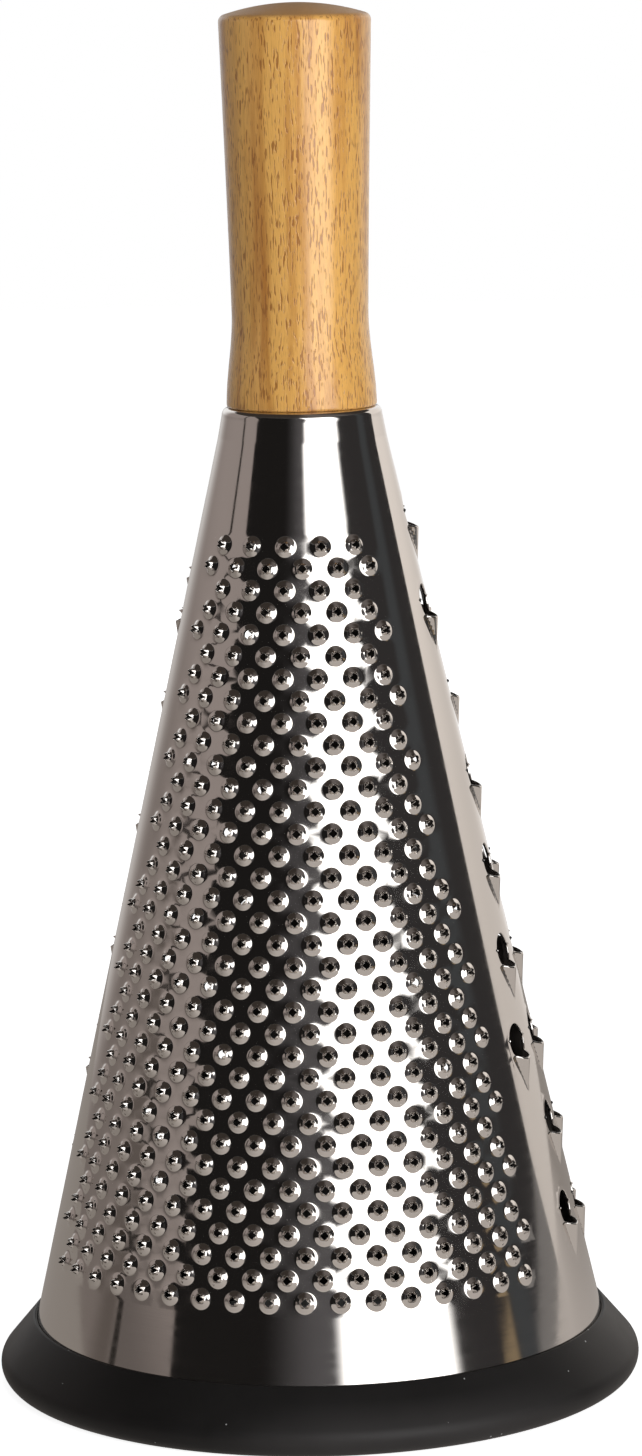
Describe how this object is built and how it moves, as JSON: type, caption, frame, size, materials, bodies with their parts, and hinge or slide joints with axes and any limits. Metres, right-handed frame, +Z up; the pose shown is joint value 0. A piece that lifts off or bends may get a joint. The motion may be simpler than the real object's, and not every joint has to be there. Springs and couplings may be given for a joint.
{
  "type": "grater",
  "caption": "Conical hand grater with a turned wooden handle, a steel cone with three grating zones and a rubber foot ring.",
  "frame": {"origin": "middle of the ring's foot, on the table", "axes": "+Z up along the cone's axis, -Y towards the middle of the fine zone"},
  "size_m": [0.1272, 0.1272, 0.2701],
  "materials": {
    "beech": "oiled beech, fine short flecks along the grain",
    "steel": "polished stainless sheet with faint brushing round the cone",
    "fastener": "bright zinc-plated steel",
    "rubber": "matte black rubber"
  },
  "bodies": {
    "root": {"handle": "beech", "grater_cone": "steel", "top_plate": "steel", "screw_washer": "fastener", "handle_screw": "fastener", "base_ring": "rubber"}
  },
  "joints": []
}
